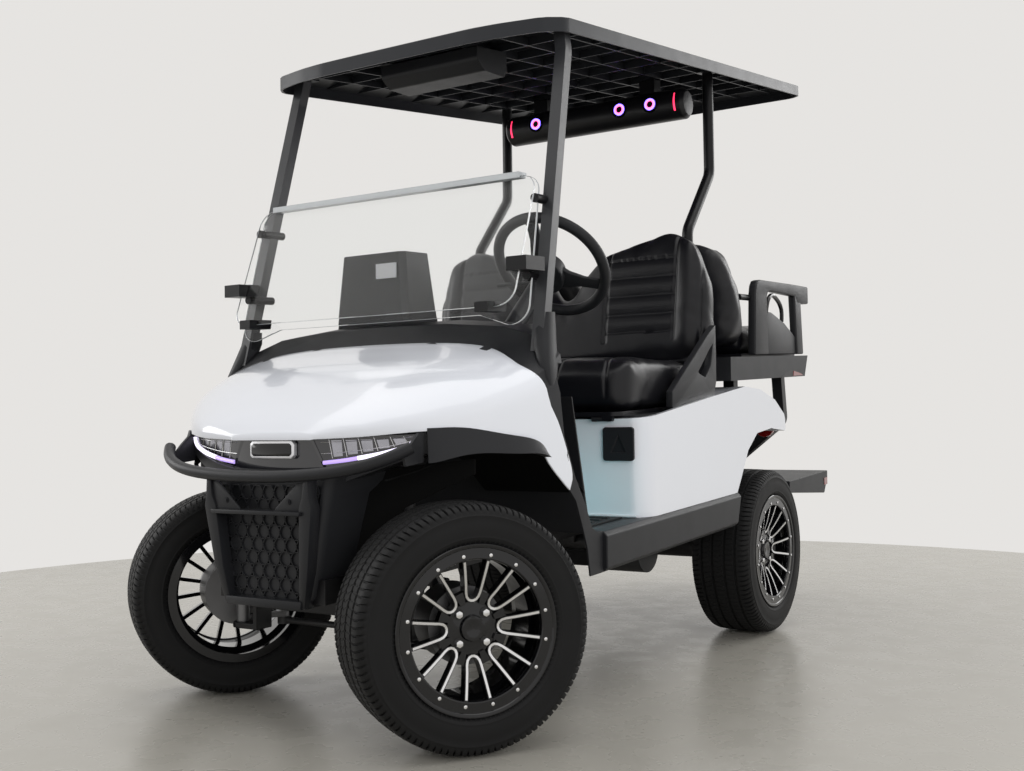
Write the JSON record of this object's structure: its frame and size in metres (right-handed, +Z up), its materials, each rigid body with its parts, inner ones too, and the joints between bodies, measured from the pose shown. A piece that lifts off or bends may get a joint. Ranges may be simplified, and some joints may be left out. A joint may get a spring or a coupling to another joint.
{
  "type": "four-seat golf cart",
  "caption": "Raised electric golf cart with a front bench, a rear-facing bench with a footplate, a ribbed roof on struts, a folding windscreen and steered, rolling wheels.",
  "frame": {"origin": "on the floor, under the middle of the cart's bounding box", "axes": "+Z up, front towards -Y, left side towards +X"},
  "size_m": [1.4264, 3.0236, 2.1322],
  "materials": {
    "body_white": "high gloss white moulding",
    "dark_trim": "satin charcoal moulded plastic",
    "roof_grey": "satin charcoal",
    "frame_black": "satin black powder coat",
    "seat_vinyl": "black grained vinyl",
    "lamp_dark": "smoked lens with violet light bars",
    "badge_metal": "plain polished",
    "tyre": "rubber",
    "rim": "gloss black with machined edges",
    "steel": "dull",
    "glass": "clear",
    "mat": "ribbed rubber",
    "tail_red": "dark red lens",
    "battery": "plain case"
  },
  "bodies": {
    "cart_body": {"backrest_brackets": "frame_black", "badge_plate": "badge_metal", "battery_pack": "battery", "brush_guard": "frame_black", "charge_port": "dark_trim", "chassis": "frame_black", "cowl": "dark_trim", "dash_pod": "dark_trim", "dashboard": "dark_trim", "fascia": "dark_trim", "floor_mat": "mat", "floor_pan": "dark_trim", "front_axle_beam": "frame_black", "front_backrest": "seat_vinyl", "front_coil_units": "steel", "front_flares": "dark_trim", "front_liners": "dark_trim", "front_struts": "roof_grey", "front_tower": "frame_black", "hip_restraints": "dark_trim", "hood": "body_white", "lamp_strip": "lamp_dark", "lower_pane": "glass", "overhead_console": "dark_trim", "pedals": "dark_trim", "rear_arms": "dark_trim", "rear_axle": "steel", "rear_backrest": "seat_vinyl", "rear_body": "body_white", "rear_leaf_springs": "steel", "rear_seat_frame": "frame_black", "rear_shocks": "steel", "rear_step": "dark_trim", "rear_struts": "frame_black", "rear_tray": "dark_trim", "roof": "roof_grey", "screen_fittings": "dark_trim", "seat_deck": "dark_trim", "sills": "dark_trim", "speaker_bar": "dark_trim", "steering_column": "frame_black", "tail_lamps": "tail_red", "upper_pane": "glass"},
    "left_knuckle": {"front_left_knuckle": "steel"},
    "right_knuckle": {"front_right_knuckle": "steel"},
    "front_left_wheel": {"front_left_rim": "rim", "front_left_tyre": "tyre"},
    "front_right_wheel": {"front_right_rim": "rim", "front_right_tyre": "tyre"},
    "rear_left_wheel": {"rear_left_rim": "rim", "rear_left_tyre": "tyre"},
    "rear_right_wheel": {"rear_right_rim": "rim", "rear_right_tyre": "tyre"},
    "tie_rod_link": {"tie_rod": "steel"},
    "steering_wheel_body": {"steering_wheel": "dark_trim"},
    "front_seat_lid": {"front_cushion": "seat_vinyl", "front_cushion_board": "dark_trim"},
    "rear_seat_lid": {"rear_cushion": "seat_vinyl", "rear_cushion_board": "dark_trim"}
  },
  "joints": [
    {"name": "left_steer", "type": "hinge", "parent": "cart_body", "child": "left_knuckle", "pos_m": [0.334, -1.12821, 0.29], "axis": [0, 0, 1], "range_deg": [-2, 70]},
    {"name": "right_steer", "type": "hinge", "parent": "cart_body", "child": "right_knuckle", "pos_m": [-0.334, -1.12821, 0.29], "axis": [0, 0, 1], "range_deg": [-2, 70]},
    {"name": "tie_rod_pivot", "type": "hinge", "parent": "left_knuckle", "child": "tie_rod_link", "pos_m": [0.39663, -1.03536, 0.218], "axis": [0, 0, 1], "range_deg": [-70, 2]},
    {"name": "steering_wheel_turn", "type": "hinge", "parent": "cart_body", "child": "steering_wheel_body", "pos_m": [0.292, -0.47221, 1.23083], "axis": [0, 0.7431, 0.6691], "range_deg": [-24, 840]},
    {"name": "front_left_roll", "type": "hinge", "parent": "left_knuckle", "child": "front_left_wheel", "pos_m": [0.47162, -1.22104, 0.29], "axis": [0.829, -0.5592, 0], "continuous": true},
    {"name": "front_right_roll", "type": "hinge", "parent": "right_knuckle", "child": "front_right_wheel", "pos_m": [-0.47162, -1.03539, 0.29], "axis": [0.829, -0.5592, 0], "continuous": true},
    {"name": "rear_left_roll", "type": "hinge", "parent": "cart_body", "child": "rear_left_wheel", "pos_m": [0.503, 0.54779, 0.29], "axis": [1, 0, 0], "continuous": true},
    {"name": "rear_right_roll", "type": "hinge", "parent": "cart_body", "child": "rear_right_wheel", "pos_m": [-0.503, 0.54779, 0.29], "axis": [1, 0, 0], "continuous": true},
    {"name": "front_seat_hinge", "type": "hinge", "parent": "cart_body", "child": "front_seat_lid", "pos_m": [0, -0.46821, 0.76702], "axis": [1, 0, 0], "range_deg": [0, 33]},
    {"name": "rear_seat_hinge", "type": "hinge", "parent": "cart_body", "child": "rear_seat_lid", "pos_m": [0, 1.11179, 1.01958], "axis": [-1, 0, 0], "range_deg": [0, 180]}
  ],
  "couplings": [
    {"joint": "right_steer", "follows": "left_steer", "ratio": 1},
    {"joint": "tie_rod_pivot", "follows": "left_steer", "ratio": -1},
    {"joint": "steering_wheel_turn", "follows": "left_steer", "ratio": 12}
  ]
}
